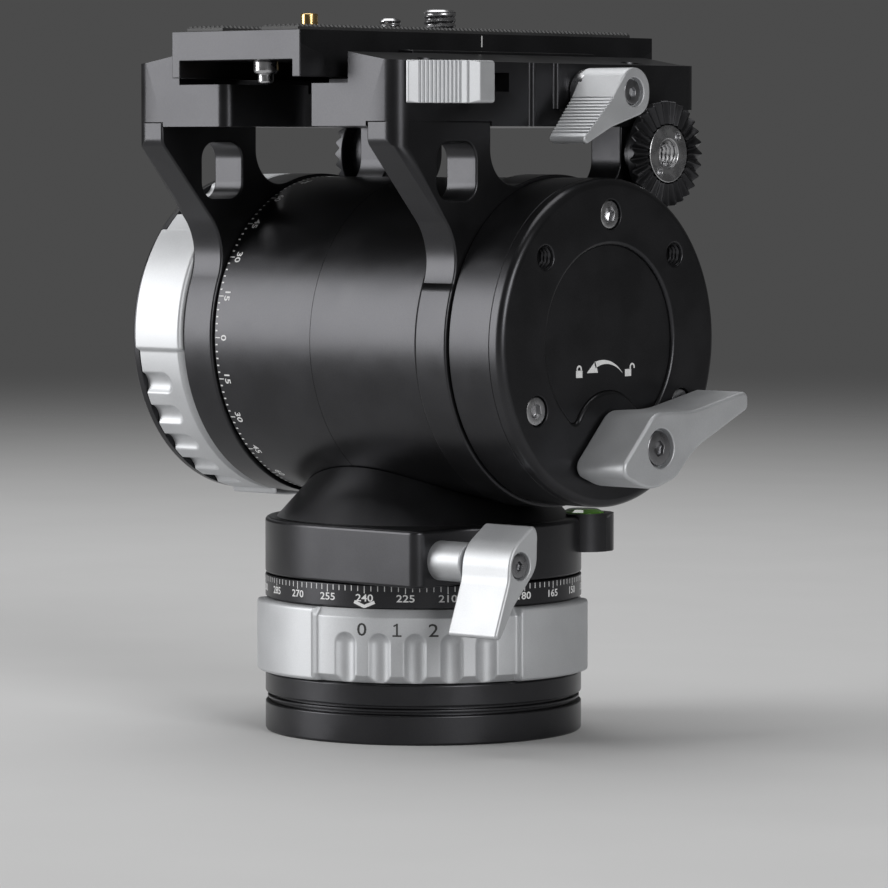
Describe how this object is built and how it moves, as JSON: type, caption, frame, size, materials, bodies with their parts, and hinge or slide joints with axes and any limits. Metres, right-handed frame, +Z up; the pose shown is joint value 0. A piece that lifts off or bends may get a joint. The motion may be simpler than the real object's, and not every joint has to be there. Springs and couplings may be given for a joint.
{
  "type": "fluid video head",
  "caption": "Fluid video head with a horizontal drag drum, a tilting platform with a sliding camera plate, rosettes for a pan bar, and a round pan base with drag and lock controls.",
  "frame": {"origin": "centre of the base's bottom face, at the mouth of the tripod socket on the pan axis", "axes": "+Z up along the pan axis, +X along the tilt axis towards the lock lever's end, +Y towards the rear of the camera plate, so that the lens end looks to -Y"},
  "size_m": [0.1628, 0.1506, 0.2086],
  "materials": {
    "black_anodised": "black anodised, bead-blasted, satin",
    "silver_anodised": "natural anodised, bead-blasted",
    "steel": "machined",
    "rubber": "ribbed, matt",
    "gold_pin": "polished",
    "friction_disc": "ground friction material",
    "level_liquid": "clear vial with green liquid"
  },
  "bodies": {
    "pan_base": {"base_flange": "black_anodised", "base_collar": "black_anodised", "pan_spindle": "steel", "pan_drag_housing": "black_anodised", "pan_drag_rotor": "friction_disc", "pan_scale_ring": "black_anodised", "spindle_nut": "steel"},
    "pan_dial": {"pan_drag_dial": "silver_anodised"},
    "pan_head": {"pan_thrust_ring": "gold_pin", "pan_housing": "black_anodised", "neck_saddle": "black_anodised", "level_boss": "black_anodised", "level_vial": "level_liquid", "drum_left": "black_anodised", "drum_right": "black_anodised", "tilt_axle": "steel", "tilt_drag_rotor": "friction_disc", "counterbalance_spring": "steel", "lock_housing": "black_anodised", "end_cap": "black_anodised", "end_face_disc": "black_anodised", "end_cap_screw_top": "steel", "end_cap_screw_front": "steel", "end_cap_screw_rear": "steel", "tilt_drag_housing": "black_anodised", "tilt_dial_cover": "black_anodised"},
    "pan_lock": {"pan_lock_spindle": "silver_anodised", "pan_lock_lever": "silver_anodised", "pan_lever_screw": "steel"},
    "tilt_dial": {"tilt_drag_dial": "silver_anodised"},
    "tilt_lock": {"tilt_lock_shoe": "friction_disc", "tilt_lock_spindle": "steel", "tilt_lock_lever": "silver_anodised", "tilt_lever_screw": "steel"},
    "cradle": {"arm_left": "black_anodised", "arm_right": "black_anodised", "arm_bearing_left": "steel", "arm_bearing_right": "steel", "platform": "black_anodised", "rosette_right": "black_anodised", "rosette_left": "black_anodised", "rosette_hub_right": "steel", "rosette_hub_left": "steel", "arm_screw_left_front": "steel", "arm_screw_left_rear": "steel", "arm_screw_right_front": "steel", "arm_screw_right_rear": "steel"},
    "clamp_control": {"clamp_spindle": "steel", "clamp_lever": "silver_anodised", "clamp_lever_screw": "steel"},
    "moving_jaw": {"clamp_jaw": "black_anodised"},
    "catch": {"safety_catch": "silver_anodised"},
    "plate": {"camera_plate": "black_anodised", "plate_pad_left": "rubber", "plate_pad_right": "rubber", "plate_stop_screw": "steel"},
    "pin": {"locating_pin": "gold_pin"},
    "quarter_screw": {"camera_screw_quarter": "steel"},
    "three_eighths_screw": {"camera_screw_three_eighths": "steel"}
  },
  "joints": [
    {"name": "pan", "type": "hinge", "parent": "pan_base", "child": "pan_head", "pos_m": [0, 0, 0.045], "axis": [0, 0, 1], "continuous": true},
    {"name": "pan_drag", "type": "hinge", "parent": "pan_base", "child": "pan_dial", "pos_m": [0, 0, 0.028], "axis": [0, 0, 1], "range_deg": [-38, 0]},
    {"name": "tilt", "type": "hinge", "parent": "pan_head", "child": "cradle", "pos_m": [0, 0, 0.114], "axis": [1, 0, 0], "range_deg": [-70, 90]},
    {"name": "tilt_drag", "type": "hinge", "parent": "pan_head", "child": "tilt_dial", "pos_m": [0, 0, 0.114], "axis": [1, 0, 0], "range_deg": [0, 38]},
    {"name": "tilt_lock_turn", "type": "hinge", "parent": "pan_head", "child": "tilt_lock", "pos_m": [0, 0, 0.0851], "axis": [1, 0, 0], "range_deg": [0, 70]},
    {"name": "pan_lock_turn", "type": "hinge", "parent": "pan_head", "child": "pan_lock", "pos_m": [0, -0.0363, 0.0533], "axis": [1, 0, 0], "range_deg": [-75, 0]},
    {"name": "clamp_turn", "type": "hinge", "parent": "cradle", "child": "clamp_control", "pos_m": [0, 0.0087, 0.1843], "axis": [1, 0, 0], "range_deg": [-90, 0]},
    {"name": "jaw_slide", "type": "slide", "parent": "cradle", "child": "moving_jaw", "axis": [1, 0, 0], "range_m": [0, 0.0016]},
    {"name": "catch_slide", "type": "slide", "parent": "cradle", "child": "catch", "axis": [0, 1, 0], "range_m": [0, 0.005], "stiffness_N_per_m": 150, "springref_m": -0.002},
    {"name": "plate_slide", "type": "slide", "parent": "cradle", "child": "plate", "axis": [0, 1, 0], "range_m": [-0.03, 0.03]},
    {"name": "pin_push", "type": "slide", "parent": "plate", "child": "pin", "axis": [0, 0, 1], "range_m": [-0.004, 0], "stiffness_N_per_m": 250, "springref_m": 0.001},
    {"name": "quarter_screw_slide", "type": "slide", "parent": "plate", "child": "quarter_screw", "axis": [0, 1, 0], "range_m": [-0.014, 0.002]},
    {"name": "three_eighths_screw_slide", "type": "slide", "parent": "plate", "child": "three_eighths_screw", "axis": [0, 1, 0], "range_m": [-0.003, 0.03]}
  ],
  "couplings": [
    {"joint": "jaw_slide", "follows": "clamp_turn", "m_per_rad": -0.001018}
  ]
}
